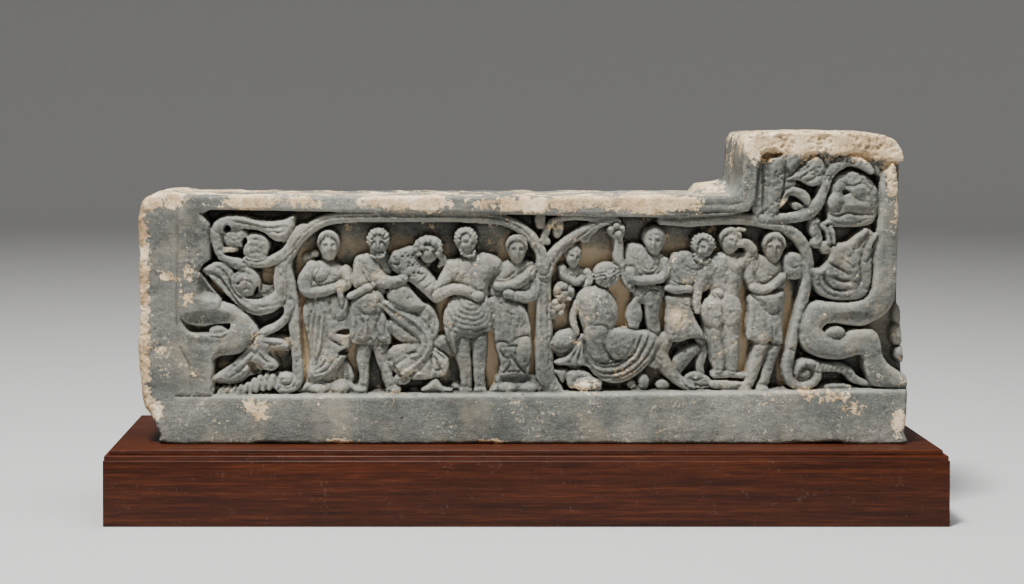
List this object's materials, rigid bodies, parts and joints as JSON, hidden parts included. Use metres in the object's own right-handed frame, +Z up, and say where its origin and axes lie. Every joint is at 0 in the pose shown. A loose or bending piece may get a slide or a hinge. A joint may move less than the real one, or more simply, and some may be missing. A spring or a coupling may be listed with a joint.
{
  "type": "stone relief panel",
  "caption": "Carved grey stone relief panel: dancing and drinking figures under vine scrolls between leafy ends, stepped up at one end, on a moulded wooden plinth.",
  "frame": {"origin": "middle of the plinth's underside", "axes": "+X along the panel to the viewer's right, +Y from the carved face to the back, +Z up"},
  "size_m": [0.585, 0.166, 0.2725],
  "materials": {
    "stone_relief": "weathered grey schist with tan deposits in the hollows and pale crust along the top",
    "wooden_plinth": "dark red-brown polished hardwood, satin"
  },
  "bodies": {
    "root": {"stone_relief": "stone_relief", "wooden_plinth": "wooden_plinth"}
  },
  "joints": []
}
